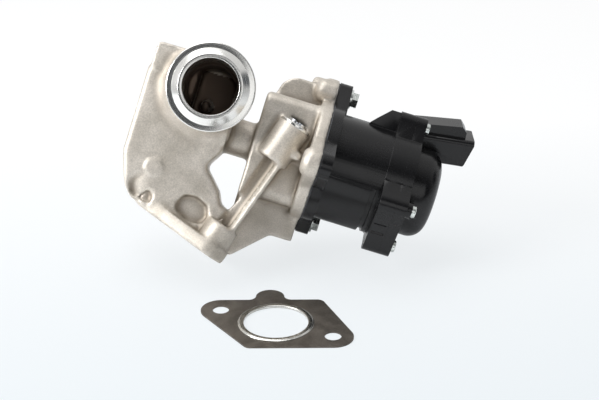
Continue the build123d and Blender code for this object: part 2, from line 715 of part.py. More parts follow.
def actuator_housing():
    """The moulded shell: joint flange, round body with its lower bulge, rear lugs."""
    x0 = JOINT_X
    root = JOINT_R - 11
    shell = eared_plate(JOINT_R - 1.0, LUG_R, SCREWS[:1], x0, x0 + RING_T, root)
    shell += eared_plate(root, LUG_R, SCREWS[1:], x0, x0 + LUG_T, root)
    shell += rod(CAN_R, x0, HOUSING_END_X)
    sector = Circle(CAN_R + BULGE_PROUD) & Pos(0, BULGE_TOP_Z - 22.0) * Rectangle(90, 44)
    bulge = Pos(x0, 0, 0) * extrude(Plane.YZ * sector, amount=BULGE_END_X - x0, dir=(1, 0, 0))
    shell += bulge
    groove = rod(CAN_R + 5, BULGE_END_X, GROOVE_END_X) - rod(
        CAN_R - GROOVE_DEPTH, BULGE_END_X - 1, GROOVE_END_X + 1
    )
    shell -= groove & box(0, 60, -40, 40, -40, BULGE_TOP_Z)
    shell += rear_flange(REAR_FLANGE_X, HOUSING_END_X)
    fin = slab(
        [
            (19.5, CAN_R - 3),
            (21.5, CAN_R),
            (24.3, CAN_R + 3.0),
            (30.7, FIN_TOP_Z),
            (REAR_FLANGE_X + 1, FIN_TOP_Z),
            (REAR_FLANGE_X + 1, CAN_R - 3),
        ],
        REAR_SCREWS[0][0] - FIN_T / 2,
        REAR_SCREWS[0][0] + FIN_T / 2,
    )
    shell += fin
    bore = CAN_R - CAN_WALL
    shell -= rod(bore, MAGNET_X, HOUSING_END_X + 1)
    shell -= rod(RETAINER_R + 1.2, x0 - 1, x0 + RING_T)
    for k, (y, z) in enumerate(SCREWS):
        if k == 0:
            shell -= rod(DOWEL_R, x0 - 1, DOWEL_LENGTH / 2, y, z)
        else:
            shell -= rod(SCREW_SHANK_R + THREAD_EASE + SLEEVE_WALL, x0 - 1, x0 + LUG_T + 1, y, z)
            shell -= rod(SCREW_WASHER_R + LOOSE, x0 + LUG_T, x0 + LUG_T + 14, y, z)
    for y, z in REAR_SCREWS:
        shell -= rod(CAP_SCREW_R, HOUSING_END_X - CAP_SCREW_REACH, HOUSING_END_X + 1, y, z)
    return shell - lug_slots()


def lug_sleeves():
    """Steel sleeves moulded into the lugs, so that the screws can't crush them."""
    inner = SCREW_SHANK_R + THREAD_EASE
    sleeves = Part()
    for y, z in SCREWS[1:]:
        sleeves += tube(inner + SLEEVE_WALL, inner, JOINT_X, JOINT_X + LUG_T, y, z)
    return sleeves


def hex_screw(y, z, seat_x, reach):
    """A hexagon screw with a captive washer face, driven from the actuator side."""
    across_flats = SCREW_HEX_AF / math.sqrt(3)
    shank = rod(SCREW_SHANK_R, seat_x - reach, seat_x, y, z)
    washer = rod(SCREW_WASHER_R, seat_x, seat_x + SCREW_WASHER_T, y, z)
    hexagon = Plane.YZ * Pos(y, z) * RegularPolygon(across_flats, 6)
    head = Pos(seat_x, 0, 0) * extrude(hexagon, amount=SCREW_HEAD_T, dir=(1, 0, 0))
    return shank + washer + head


def flange_screws():
    """The screws that hold the actuator to the casting."""
    seat = JOINT_X + LUG_T
    reach = seat + SCREW_REACH - 0.5
    return Part() + [hex_screw(y, z, seat, reach) for y, z in SCREWS[1:]]


def yoke():
    """The drawn steel can that carries the magnetic flux round the coil."""
    x0 = MAGNET_X
    outer = CAN_R - CAN_WALL - YOKE_GAP
    can = tube(outer, outer - YOKE_WALL, x0, YOKE_END_X)
    return can + tube(outer, YOKE_FRONT_HOLE_R + TUBE_WALL, x0, x0 + YOKE_FRONT_T)


def pole_piece():
    """The fixed pole that draws the armature, pierced for the stem."""
    x0 = MAGNET_X
    return tube(ARMATURE_R + RUNNING, STEM_R + LOOSE, x0, x0 + POLE_LENGTH)


def armature_tube():
    """The brass tube that guides the armature and holds it clear of the coil."""
    x0 = MAGNET_X
    inner = ARMATURE_R + RUNNING
    return tube(inner + TUBE_WALL, inner, x0, YOKE_END_X)


def armature():
    """The moving iron, pressed on the stem."""
    body = rod(ARMATURE_R, ARMATURE_X, ARMATURE_X + ARMATURE_LENGTH)
    return body - rod(STEM_R, ARMATURE_X - 1, ARMATURE_X + ARMATURE_LENGTH - 6)


def bobbin():
    """The moulded former of the coil."""
    x0 = MAGNET_X + YOKE_FRONT_T
    x1 = YOKE_END_X - YOKE_FRONT_T
    inner = ARMATURE_R + RUNNING + TUBE_WALL
    former = tube(inner + BOBBIN_WALL, inner, x0, x1)
    former += tube(BOBBIN_FLANGE_R, inner, x0, x0 + BOBBIN_WALL)
    return former + tube(BOBBIN_FLANGE_R, inner, x1 - BOBBIN_WALL, x1)


def winding():
    """The enamelled copper winding."""
    x0 = MAGNET_X + YOKE_FRONT_T + BOBBIN_WALL
    x1 = YOKE_END_X - YOKE_FRONT_T - BOBBIN_WALL
    inner = ARMATURE_R + RUNNING + TUBE_WALL + BOBBIN_WALL
    return tube(WINDING_R, inner, x0, x1)


def yoke_end():
    """The steel plate that closes the back of the magnet."""
    outer = CAN_R - CAN_WALL - YOKE_GAP - YOKE_WALL
    inner = ARMATURE_R + RUNNING + TUBE_WALL
    return tube(outer, inner, YOKE_END_X - YOKE_FRONT_T, YOKE_END_X)


CONNECTOR = Pos(*PLUG_CENTRE) * Rot(0, -PLUG_LIFT, 0) * Rot(PLUG_TURN, 0, 0)
SOCKET_END = PLUG_LENGTH / 2


def socket_cavity():
    """The space inside the connector that the plug of the loom goes into."""
    hole = Box(SOCKET_DEPTH + 1, PLUG_WIDTH - 2 * PLUG_WALL, PLUG_HEIGHT - 2 * PLUG_WALL)
    hole = fillet(hole.edges().filter_by(Axis.X), 2.0)
    return CONNECTOR * Pos(SOCKET_END - SOCKET_DEPTH / 2 + 0.5, 0, 0) * hole


def pin_places():
    """Middle of each connector pin, in the connector's own frame."""
    start = -(PIN_COUNT - 1) / 2 * PIN_PITCH
    x = SOCKET_END - SOCKET_DEPTH + PIN_IN_SOCKET - PIN_LENGTH / 2
    return [(x, start + k * PIN_PITCH, 0) for k in range(PIN_COUNT)]


def connector_pins():
    """Tinned blades, moulded through the floor of the socket."""
    blade = Box(PIN_LENGTH, PIN_SIZE, PIN_SIZE)
    return Part() + [CONNECTOR * Pos(*p) * blade for p in pin_places()]


def sensor_cover():
    """The moulded cap over the position sensor, with its connector and screw lugs."""
    x0 = HOUSING_END_X
    x1 = x0 + COVER_LENGTH
    dome = rod(DOME_R, x0, x1)
    rim = dome.edges().filter_by(GeomType.CIRCLE).sort_by(Axis.X)[-1]
    dome = fillet(rim, DOME_CORNER)
    cover = dome + rear_flange(x0, x0 + COVER_FLANGE_T)
    shroud = Box(PLUG_LENGTH, PLUG_WIDTH, PLUG_HEIGHT)
    shroud = fillet(shroud.edges().filter_by(Axis.X), 2.6)
    top = PLUG_HEIGHT / 2
    slant = [(17.0, top - 1.3), (16.2, top - 1.8), (11.8, -top - 0.7), (17.0, -top - 0.7)]
    shroud -= slab(slant, -PLUG_WIDTH, PLUG_WIDTH)
    latch = [(-22.0, top - 3), (11.0, top - 1), (11.0, top + 3.4), (8.4, top + 6.4), (-22.0, top + 4.2)]
    latch = slab(latch, -LATCH_WIDTH / 2, LATCH_WIDTH / 2)
    cover += CONNECTOR * (shroud + latch)
    cover -= rod(CAN_R + 30, x0 - 40, x0)
    inner = DOME_R - COVER_WALL
    hollow = rod(inner, x0 - 1, x1 - COVER_WALL)
    rim = hollow.edges().filter_by(GeomType.CIRCLE).sort_by(Axis.X)[-1]
    cover -= fillet(rim, DOME_CORNER - COVER_WALL)
    cover += tube(GUIDE_R + GUIDE_WALL, GUIDE_R, x0 - 1.0, x1 - 1)
    cover += tube(BOARD_R - 1, BOARD_R - 3, BOARD_X + BOARD_T, x1 - 1) & dome
    cover -= socket_cavity()
    blade = Box(PIN_LENGTH, PIN_SIZE, PIN_SIZE)
    for p in pin_places():
        cover -= CONNECTOR * Pos(*p) * blade
    for (y, z), stand in zip(REAR_SCREWS, REAR_SEATS):
        seat = x0 + COVER_FLANGE_T + stand
        cover += rod(CAP_HEAD_R + 1.0, x0, seat, y, z)
        cover -= rod(CAP_SCREW_R + THREAD_EASE, x0 - 1, seat + 1, y, z)
        cover -= rod(CAP_HEAD_R + LOOSE, seat, seat + 8, y, z)
    cover -= cover_seal()
    return cover


def cover_seal():
    """The rubber ring let into the cover's joint face."""
    mean = CAN_R - CAN_WALL / 2
    x0 = HOUSING_END_X
    return tube(mean + SEAL_R, mean - SEAL_R, x0, x0 + 2 * SEAL_R)


def cap_screw(y, z, stand):
    """A small pan head screw that holds the cover."""
    seat = HOUSING_END_X + COVER_FLANGE_T + stand
    shank = rod(CAP_SCREW_R, HOUSING_END_X - CAP_SCREW_REACH + 0.5, seat, y, z)
    head = rod(CAP_HEAD_R, seat, seat + CAP_HEAD_T, y, z)
    edge = head.edges().filter_by(GeomType.CIRCLE).sort_by(Axis.X)[-1]
    head = fillet(edge, CAP_HEAD_T / 3)
    drive = Pos(0, y, z) * rod(CAP_HEAD_R / 2, seat + CAP_HEAD_T / 2, seat + CAP_HEAD_T + 1)
    return shank + head - drive


def cover_screws():
    """The screws round the rear joint."""
    return Part() + [cap_screw(*at, stand) for at, stand in zip(REAR_SCREWS, REAR_SEATS)]


def sensor_plunger():
    """The follower that carries the position magnet on the armature's end."""
    x0 = ARMATURE_X + ARMATURE_LENGTH
    x1 = BOARD_X - 1.0
    pin = rod(PLUNGER_R, x0, x1)
    return pin + rod(GUIDE_R - RUNNING, x1 - PLUNGER_HEAD + 4, x1 + 4)


def plunger_spring():
    """The light spring that keeps the follower on the armature."""
    x0 = BOARD_X + 3.0
    x1 = HOUSING_END_X + COVER_LENGTH - COVER_WALL
    return helix_spring(SENSOR_SPRING_R, SENSOR_SPRING_WIRE, x0, x1, SENSOR_SPRING_TURNS)


def sensor_board():
    """The ring of circuit board round the follower's guide."""
    return tube(BOARD_R, GUIDE_R + GUIDE_WALL, BOARD_X, BOARD_X + BOARD_T)


def gasket_plate():
    """The loose steel gasket that goes under the inlet flange, with its assembly ear."""
    top = EDGE_BOLT_Y + FLANGE_TIP_R
    ends = (top - GASKET_EAR_R, top + GASKET_EAR - GASKET_EAR_R)
    ear = belt([(GASKET_EAR_X, y, GASKET_EAR_R) for y in ends])
    plate = extrude(flange_outline(), amount=GASKET_T) + extrude(ear, amount=GASKET_T)
    root = plate.edges().filter_by(Axis.Z).sort_by_distance((GASKET_EAR_X, top, 0))[:2]
    plate = fillet(root, GASKET_EAR_BLEND)
    plate -= Cylinder(GASKET_BEAD_R, 3 * GASKET_T)
    for side in (1, -1):
        hole = Cylinder(GASKET_HOLE_R, 3 * GASKET_T)
        plate -= Pos(side * EDGE_BOLT_X, -side * EDGE_BOLT_Y) * hole
    return plate


def gasket_ring():
    """The rolled fire ring round the port of the gasket."""
    ring = Pos(0, 0, GASKET_BEAD_T / 2) * Cylinder(GASKET_BEAD_R, GASKET_BEAD_T)
    return ring - Pos(0, 0, GASKET_BEAD_T / 2) * Cylinder(PORT_R, 2 * GASKET_BEAD_T)


VALVE_PIECES = {
    "valve_housing": valve_housing,
    "valve_seat_ring": seat_ring,
    "valve_poppet": poppet,
    "valve_stem": stem,
    "stem_bush": stem_bush,
    "stem_seal": stem_seal,
    "core_plug": core_plug,
    "bolt_sleeve": bolt_sleeve,
    "return_spring": return_spring,
    "spring_retainer": spring_retainer,
    "joint_gasket": joint_gasket,
    "locating_dowel": locating_dowel,
    "actuator_housing": actuator_housing,
    "lug_sleeves": lug_sleeves,
    "flange_screws": flange_screws,
    "yoke_can": yoke,
    "yoke_end_plate": yoke_end,
    "pole_piece": pole_piece,
    "armature_tube": armature_tube,
    "armature": armature,
    "coil_bobbin": bobbin,
    "coil_winding": winding,
    "sensor_cover": sensor_cover,
    "cover_seal": cover_seal,
    "cover_screws": cover_screws,
    "sensor_plunger": sensor_plunger,
    "plunger_spring": plunger_spring,
    "sensor_board": sensor_board,
    "connector_pins": connector_pins,
}
LOOSE_PIECES = {"inlet_gasket": gasket_plate, "gasket_fire_ring": gasket_ring}

ATTITUDE = Rot(-REST_PITCH, 0, 0) * Rot(0, REST_ROLL, 0) * Rot(0, 0, REST_YAW)
pieces = {name: ATTITUDE * make() for name, make in VALVE_PIECES.items()}
floor_z = min(p.bounding_box().min.Z for p in pieces.values())
gasket_at = Pos(GASKET_PLACE[0], GASKET_PLACE[1], floor_z) * Rot(0, 0, GASKET_TURN)
for name, make in LOOSE_PIECES.items():
    pieces[name] = gasket_at * make()
boxes = [p.bounding_box() for p in pieces.values()]
middle_x = (min(b.min.X for b in boxes) + max(b.max.X for b in boxes)) / 2
middle_y = (min(b.min.Y for b in boxes) + max(b.max.Y for b in boxes)) / 2
REST = Pos(-middle_x, -middle_y, -floor_z)
for name, piece in pieces.items():
    export_step(REST * piece, f"parts/{name}.step")
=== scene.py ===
import math

import bmesh
import bpy
import numpy as np
from mathutils import Matrix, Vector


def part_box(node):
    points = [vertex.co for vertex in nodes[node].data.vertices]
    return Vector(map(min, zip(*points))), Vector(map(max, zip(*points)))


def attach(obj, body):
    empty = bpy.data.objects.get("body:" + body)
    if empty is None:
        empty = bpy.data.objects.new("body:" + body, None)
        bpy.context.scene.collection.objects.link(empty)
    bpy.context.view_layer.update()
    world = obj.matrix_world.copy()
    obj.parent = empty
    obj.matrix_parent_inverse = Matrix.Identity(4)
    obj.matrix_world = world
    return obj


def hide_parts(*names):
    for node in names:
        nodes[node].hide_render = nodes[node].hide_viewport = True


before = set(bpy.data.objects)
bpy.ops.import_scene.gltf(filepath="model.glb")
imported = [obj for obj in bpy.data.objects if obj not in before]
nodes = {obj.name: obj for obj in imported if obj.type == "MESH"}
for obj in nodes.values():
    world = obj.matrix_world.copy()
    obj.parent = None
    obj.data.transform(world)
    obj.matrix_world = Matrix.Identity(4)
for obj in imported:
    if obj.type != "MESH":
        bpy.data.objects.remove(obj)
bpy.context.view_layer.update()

# ---- how the valve lies ----
# The valve lies on the edge of its inlet flange and on its actuator. Its own frame has X
# along the stem, Y into the depth and Z up, and its origin on the joint face between the
# casting and the actuator, on the stem. All sizes below are millimetres in that frame.
MM = 0.001
REST_PITCH, REST_ROLL, REST_YAW = -24.0, 17.0, 2.0
STEM_MIDDLE_X = -26.6


def turned(axis, degrees):
    """Rotation matrix about one axis, X 0, Y 1 or Z 2, anticlockwise."""
    a = math.radians(degrees)
    u, v = (axis + 1) % 3, (axis + 2) % 3
    m = np.eye(3)
    m[u, u] = m[v, v] = math.cos(a)
    m[u, v], m[v, u] = -math.sin(a), math.sin(a)
    return m


ATTITUDE = turned(0, REST_PITCH) @ turned(1, REST_ROLL) @ turned(2, REST_YAW)
stem_middle = np.mean(np.array(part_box("valve_stem")), axis=0)
STEM_ORIGIN = stem_middle - ATTITUDE @ np.array([STEM_MIDDLE_X * MM, 0, 0])


def placed(points):
    """Points of the valve's own frame, in millimetres, as metres in the row frame."""
    return np.asarray(points, float) @ ATTITUDE.T * MM + STEM_ORIGIN


def in_valve(points):
    """Points of the row frame, in metres, as millimetres in the valve's own frame."""
    return (points - STEM_ORIGIN) @ ATTITUDE / MM


# ---- camera ----
# A long lens, looking into the depth and down by the same angle that the collar looks up,
# so that the collar is seen square on.
LENS = 78.1
CAMERA_DISTANCE = 715.0
CAMERA_RIGHT, CAMERA_UP = -9.6, -21.0

pitch = math.radians(-REST_PITCH)
forward = np.array([0, math.cos(pitch), -math.sin(pitch)])
upward = np.array([0, math.sin(pitch), math.cos(pitch)])
right = np.array([1.0, 0, 0])
camera_data = bpy.data.cameras.new("camera")
camera_data.lens = LENS
camera_data.sensor_width = 36.0
camera = bpy.data.objects.new("camera", camera_data)
bpy.context.scene.collection.objects.link(camera)
camera.location = STEM_ORIGIN + MM * (
    CAMERA_RIGHT * right + CAMERA_UP * upward - CAMERA_DISTANCE * forward
)
camera.rotation_euler = (math.pi / 2 - pitch, 0, 0)
bpy.context.scene.camera = camera
bpy.context.scene.view_settings.view_transform = "Standard"

# ---- floor and light ----
# A white table under one broad soft lamp overhead and two soft panels, in a room that is
# white behind the valve, dark behind the camera, and has one dark card high on the right,
# for the metal to show. The camera itself sees the room as plain pale paper.
ROOM_BEHIND = "#ffffff"
ROOM_CAMERA_SIDE = "#2b2f34"
ROOM_FADE = (-0.65, 0.05)        # from the camera's side to behind, as the depth of a direction
ROOM_STRENGTH = 0.8
CARD_DARK = "#3c434c"
CARD_ANGLE = 33.0                # above the stem, as seen from the camera's side
CARD_TOWARDS_CAMERA = 0.09
CARD_HALF_WIDTH = 12.0           # degrees
CARD_SOFTNESS = (0.008, 0.004)   # outside and inside its edge, as a cosine
FLOOR_WHITE = "#f4f7fa"
FLOOR_NEAR = "#e6edf1"
FLOOR_FAR = "#ffffff"
FLOOR_FADE = (-0.16, 0.25)       # from near to far, in metres
FLOOR_GLOW_SHARE = 0.85          # of what the camera sees, the rest is lit and shaded
FLOOR_HALF_SIZE = 4.0
LAMP_TARGET = (0, 0, 0.05)


def linear(colour):
    """An sRGB hex colour as linear red, green, blue and alpha."""
    parts = [int(colour[i : i + 2], 16) / 255 for i in (1, 3, 5)]
    return [c / 12.92 if c <= 0.04045 else ((c + 0.055) / 1.055) ** 2.4 for c in parts] + [1.0]


def add(tree, kind, settings=(), **links):
    """A node with its settings, and links from (node, output) pairs to its named inputs."""
    node = tree.nodes.new(kind)
    for key, value in dict(settings).items():
        if hasattr(node, key):
            setattr(node, key, value)
        else:
            node.inputs[key].default_value = value
    for key, (source, output) in links.items():
        tree.links.new(source.outputs[output], node.inputs[key.replace("_", " ")])
    return node


def new_tree(owner):
    """The empty node tree of a new material or world."""
    owner.use_nodes = True
    owner.node_tree.nodes.clear()
    return owner.node_tree


world = bpy.data.worlds.new("studio")
bpy.context.scene.world = world
tree = new_tree(world)
way = add(tree, "ShaderNodeTexCoord")
axes = add(tree, "ShaderNodeSeparateXYZ", Vector=(way, "Generated"))
behind = add(
    tree,
    "ShaderNodeMapRange",
    {"From Min": ROOM_FADE[0], "From Max": ROOM_FADE[1]},
    Value=(axes, "Y"),
)
room = add(
    tree,
    "ShaderNodeMixRGB",
    {"Color1": linear(ROOM_CAMERA_SIDE), "Color2": linear(ROOM_BEHIND)},
    Fac=(behind, 0),
)
card = math.radians(CARD_ANGLE)
card_way = ATTITUDE @ np.array([math.cos(card), -CARD_TOWARDS_CAMERA, math.sin(card)])
card_way = card_way / np.linalg.norm(card_way)
facing = add(
    tree,
    "ShaderNodeVectorMath",
    {"operation": "DOT_PRODUCT"},
    Vector=(way, "Generated"),
)
facing.inputs[1].default_value = card_way
card_edge = math.cos(math.radians(CARD_HALF_WIDTH))
card_share = add(
    tree,
    "ShaderNodeMapRange",
    {"From Min": card_edge - CARD_SOFTNESS[0], "From Max": card_edge + CARD_SOFTNESS[1]},
    Value=(facing, "Value"),
)
room = add(
    tree,
    "ShaderNodeMixRGB",
    {"Color2": linear(CARD_DARK)},
    Fac=(card_share, 0),
    Color1=(room, 0),
)
light = add(tree, "ShaderNodeBackground", {"Strength": ROOM_STRENGTH}, Color=(room, 0))
pale = add(tree, "ShaderNodeBackground", {"Color": linear(FLOOR_WHITE), "Strength": 1.0})
ray = add(tree, "ShaderNodeLightPath")
sky = add(tree, "ShaderNodeMixShader", Fac=(ray, "Is Camera Ray"))
tree.links.new(light.outputs[0], sky.inputs[1])
tree.links.new(pale.outputs[0], sky.inputs[2])
add(tree, "ShaderNodeOutputWorld", Surface=(sky, 0))


def lamp(name, size, watts, place, target):
    """A square area lamp at a place, aimed at a target, both in metres."""
    data = bpy.data.lights.new(name, "AREA")
    data.size, data.energy = size, watts
    obj = bpy.data.objects.new(name, data)
    bpy.context.scene.collection.objects.link(obj)
    aim = np.array(target) - np.array(place)
    obj.location = place
    obj.rotation_euler = (
        math.atan2(math.hypot(aim[0], aim[1]), -aim[2]),
        0,
        math.atan2(aim[0], -aim[1]) + math.pi,
    )


lamp("overhead", 0.8, 5.0, (-0.25, 0.1, 0.95), LAMP_TARGET)
lamp("left panel", 0.5, 10.0, (-0.9, -0.45, 0.6), LAMP_TARGET)
lamp("front panel", 0.6, 1.5, (0.3, -1.0, 0.5), LAMP_TARGET)

floor_mesh = bpy.data.meshes.new("floor")
corners = FLOOR_HALF_SIZE * np.array([(-1, -1, 0), (1, -1, 0), (1, 1, 0), (-1, 1, 0)])
floor_mesh.from_pydata(corners, [], [(0, 1, 2, 3)])
floor = bpy.data.objects.new("floor", floor_mesh)
bpy.context.scene.collection.objects.link(floor)
paper = bpy.data.materials.new("white table")
tree = new_tree(paper)
lit = add(tree, "ShaderNodeBsdfPrincipled", {"Base Color": linear(FLOOR_WHITE), "Roughness": 0.6})
spot = add(tree, "ShaderNodeSeparateXYZ", Vector=(add(tree, "ShaderNodeTexCoord"), "Object"))
far = add(
    tree,
    "ShaderNodeMapRange",
    {"From Min": FLOOR_FADE[0], "From Max": FLOOR_FADE[1]},
    Value=(spot, "Y"),
)
tint = add(
    tree,
    "ShaderNodeMixRGB",
    {"Color1": linear(FLOOR_NEAR), "Color2": linear(FLOOR_FAR)},
    Fac=(far, 0),
)
glow = add(tree, "ShaderNodeEmission", {"Strength": 1.0}, Color=(tint, 0))
ray = add(tree, "ShaderNodeLightPath")
glowing = add(tree, "ShaderNodeMath", {"operation": "MULTIPLY"})
tree.links.new(ray.outputs["Is Camera Ray"], glowing.inputs[0])
glowing.inputs[1].default_value = FLOOR_GLOW_SHARE
top = add(tree, "ShaderNodeMixShader", Fac=(glowing, 0))
tree.links.new(lit.outputs[0], top.inputs[1])
tree.links.new(glow.outputs[0], top.inputs[2])
add(tree, "ShaderNodeOutputMaterial", Surface=(top, 0))
floor_mesh.materials.append(paper)

# ---- casting ----
# The valve's housing is one aluminium die casting. It is shot blasted after trimming, so its edges
# are soft and its skin is a fine pale grain, with painted shade, darker and warmer, in the
# hollows. The gas duct inside is left as cast, and painted shade darkens its walls and those of
# the bores.
CAST_GRID = 1.05                 # squares of the regrown skin
CAST_ROUNDS = 24                 # of relaxing the skin
CAST_MOVE = 2.4                  # no point is relaxed further than this
EASE, EASE_BLOCK, EASE_MARK = 0.11, 0.07, 0.02   # share moved each round: body, block, mark
EASE_FOOT = 0.3                  # more, round the neck's foot
FOOT_PLACE = (23, -23)           # radius round the collar's axis, and depth
KNOB_R = 6.4
KNOB = (-12.6, -0.3)             # along the stem
KNOB_DOME = 4.5
KNOB_CENTRE = (3.4, 39.2)        # depth and height
DUCT_BOSS = (-67.8, 11.5, 3.2)   # along the stem, height and radius, on the duct's far wall
DUCT_BOSS_DEPTH = 10.5
PORT_WALL = (-62.5, -46.5, 7.5)  # the same, of the thin wall behind the port
PORT_WALL_DEPTH = 2.0
BODY_FRONT_Y, BODY_BACK_Y = -19.0, 19.0
BODY_LEFT_EDGE = [(-102, 24), (-102, -24.8), (-99.2, -34.1), (-95.6, -42.5), (-90.8, -47.9)]
EJECTOR = (-83.3, -28.8, 4.6)    # along the stem, height and radius
DISH = (-86.0, -40.0)            # along the stem and height, in the front's lower left
DISH_RADII = (6.0, 9.0)          # full depth inside the first, none outside the second
DISH_DEPTH, DISH_REACH = 6.5, 15.0   # deepest at the left edge, none this far from it
DISH_RISES = [(-73.7, -32.0, 8.0, 1.5), (-83.3, -28.8, 4.4, 0.5)]   # place, reach and rise
PAD_FRAME = (-95.0, 27.4, 5.6, 6.4)   # along the stem, height and half sizes of the sunk field
PAD_SINK = 1.0
COLLAR_X, COLLAR_Z = -65.8, 19.9
COLLAR_HIDDEN = (15.5, 19.1)     # the casting's radii under the machined ring
COLLAR_HIDDEN_Y = (-38.6, -30.8)
NECK_R = 20.2
NECK_FOOT_R = 22.0
NECK_FILLET = 9.0
FILLET_SWEEP = ((118, 140), (296, 318))   # degrees over which it starts and ends
PORT = (-65.6, 2.0, -57.45)
PORT_TILT = 18.5
DUCT_MIDDLE = (-75, 0, -8)
DUCT_INSIDE = ((-96, -54.5), (-14.9, 14.9), (-50, 31))
# Where painted shade darkens the collar's bore and the port.
COLLAR_SHADE_R = (15.6, 16.6)     # full inside the first, none outside the second
COLLAR_SHADE_Y = (-39, -30, 10)   # starts, is full, and ends
PORT_SHADE_R = (16.6, 17.6)
PORT_SHADE_DEPTH = (0.4, 5.0, 16)
CAST_PALE = "#dcd5cb"
CAST_SHADE = "#c0b9ae"
CAST_WORN = "#dcd7cf"
# The hollow colour is painted shade, darkening the hollows of the skin.
CAST_HOLLOW_SHADE = "#8a7f71"
# The colour of the painted shade inside the bores and the duct.
CAST_INNER_SHADE = "#54453a"
CAST_GRAIN_MM = 0.75             # the blast's grain is finer, drawn coarse enough to show
CAST_BLOTCH_MM = 17.0


def merged_copy(node, *forms):
    """A copy of a CAD node's mesh with its loose triangles joined up, and closed forms that
    the regrown skin takes in."""
    mesh = nodes[node].data.copy()
    work = bmesh.new()
    work.from_mesh(mesh)
    bmesh.ops.remove_doubles(work, verts=work.verts, dist=2e-6)
    for form in forms:
        work.from_mesh(form)
    work.to_mesh(mesh)
    work.free()
    mesh.materials.clear()
    return mesh


def shown(name, mesh, material, body, slot, *replaced):
    """An object of a finished mesh with its material and body, in place of CAD nodes; the slot is
    not used.
    """
    obj = bpy.data.objects.new(name, mesh)
    bpy.context.scene.collection.objects.link(obj)
    mesh.materials.append(material)
    mesh.polygons.foreach_set("use_smooth", np.ones(len(mesh.polygons), bool))
    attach(obj, body)
    if replaced:
        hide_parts(*replaced)
    return obj


def regrown(mesh, grid):
    """The skin of a closed mesh, worked out again as even squares of a size in millimetres."""
    obj = bpy.data.objects.new("rough", mesh)
    bpy.context.scene.collection.objects.link(obj)
    skin = obj.modifiers.new("skin", "REMESH")
    skin.mode = "VOXEL"
    skin.voxel_size = grid * MM
    graph = bpy.context.evaluated_depsgraph_get()
    result = bpy.data.meshes.new_from_object(obj.evaluated_get(graph))
    bpy.data.objects.remove(obj)
    bpy.data.meshes.remove(mesh)
    return result


def read(mesh, layer, key, width, kind=float):
    """One property of all vertices or edges as an array."""
    values = np.empty(len(layer) * width, kind)
    layer.foreach_get(key, values)
    return values.reshape(-1, width)


def relaxed(values, edges, rounds, share=0.5):
    """Each vertex's values moved by a share towards its neighbours' mean, some times over."""
    a, b = edges.T
    n = len(values)
    count = np.bincount(edges.ravel(), minlength=n)[:, None]
    for _ in range(rounds):
        columns = [np.bincount(a, v[b], n) + np.bincount(b, v[a], n) for v in values.T]
        values = values + share * (np.stack(columns, axis=1) / count - values)
    return values


def softened(mesh, rounds, most, share=0.5):
    """Rounds a mesh's edges by relaxing it, each point moving the most millimetres at most,
    and keeps how far each point sank, towards edges (plus) and into hollows (minus)."""
    edges = read(mesh, mesh.edges, "vertices", 2, np.int32)
    before = read(mesh, mesh.vertices, "co", 3)
    normals = read(mesh, mesh.vertices, "normal", 3)
    move = relaxed(before, edges, rounds, share) - before
    length = np.linalg.norm(move, axis=1, keepdims=True)
    after = before + move * np.minimum(1, most * MM / np.maximum(length, 1e-9))
    mesh.vertices.foreach_set("co", after.ravel())
    wide = relaxed(after, edges, 40) - after
    # The hollow layer is kept for the painted shade in the hollows.
    for name, moved in (("edge", move), ("hollow_shade", wide)):
        sunk = -np.sum(moved * normals, axis=1) / MM
        sunk = relaxed(sunk[:, None], edges, 2)[:, 0]
        mesh.attributes.new(name, "FLOAT", "POINT").data.foreach_set("value", sunk)
    mesh.update()
    return after


def smooth_step(x, low, high):
    """0 below low, 1 above high, and a smooth rise between them."""
    t = np.clip((x - low) / (high - low), 0, 1)
    return t * t * (3 - 2 * t)


def edge_distance(x, z, line):
    """Distance of points (x, z) from the nearest point of a line of corners, by dropping
    each point onto each straight piece and keeping the nearest."""
    line = np.array(line, float)
    a, d = line[:-1], np.diff(line, axis=0)
    p = np.stack([x, z], axis=1)[:, None] - a
    t = np.clip(np.sum(p * d, axis=2) / np.sum(d * d, axis=1), 0, 1)
    return np.linalg.norm(p - t[..., None] * d, axis=2).min(axis=1)


def ring_mesh(name, profile, segments, centre, axis, start):
    """A closed profile of (radius, height) pairs carried round an axis through a centre, in
    millimetres. Its UV map has the angle across and the length along the profile up."""
    profile = np.array(profile, float)
    axis = np.array(axis, float) / np.linalg.norm(axis)
    across = np.array(start, float)
    other = np.cross(axis, across)
    angle = 2 * np.pi * np.arange(segments) / segments
    spoke = np.cos(angle)[:, None] * across + np.sin(angle)[:, None] * other
    points = (
        profile[None, :, 0, None] * spoke[:, None, :]
        + profile[None, :, 1, None] * axis
        + np.array(centre, float)
    )
    n = len(profile)
    i, j = np.meshgrid(np.arange(segments), np.arange(n), indexing="ij")
    i2, j2 = (i + 1) % segments, (j + 1) % n
    faces = np.stack([i * n + j, i * n + j2, i2 * n + j2, i2 * n + j], axis=-1).reshape(-1, 4)
    mesh = bpy.data.meshes.new(name)
    mesh.from_pydata(points.reshape(-1, 3), [], faces.tolist())
    along = np.append(0, np.cumsum(np.linalg.norm(np.diff(profile, axis=0), axis=1)))
    end = along[-1] + np.linalg.norm(profile[0] - profile[-1])
    up = np.append(along, end)
    turn = 2 * np.pi * np.mean(profile[:, 0]) / segments
    u = np.stack([i, i, i + 1, i + 1], axis=-1) * turn
    v = np.stack([up[j], up[j + 1], up[j + 1], up[j]], axis=-1)
    layer = mesh.uv_layers.new(name="turning")
    layer.data.foreach_set("uv", np.stack([u, v], axis=-1).ravel())
    return mesh


def set_in_valve(mesh):
    """Puts a mesh that was made in the valve's frame, in millimetres, into the row frame."""
    mesh.vertices.foreach_set("co", placed(read(mesh, mesh.vertices, "co", 3)).ravel())
    mesh.update()
    return mesh


def domed(radius, low, high, dome):
    """The profile of a solid round bar from one height to another, its low end domed by an
    ellipse over a given length."""
    a = np.linspace(0, np.pi / 2, 9)
    arc = [(radius * math.sin(t), low + dome * (1 - math.cos(t))) for t in a]
    return arc + [(radius, high), (0.0, high)]


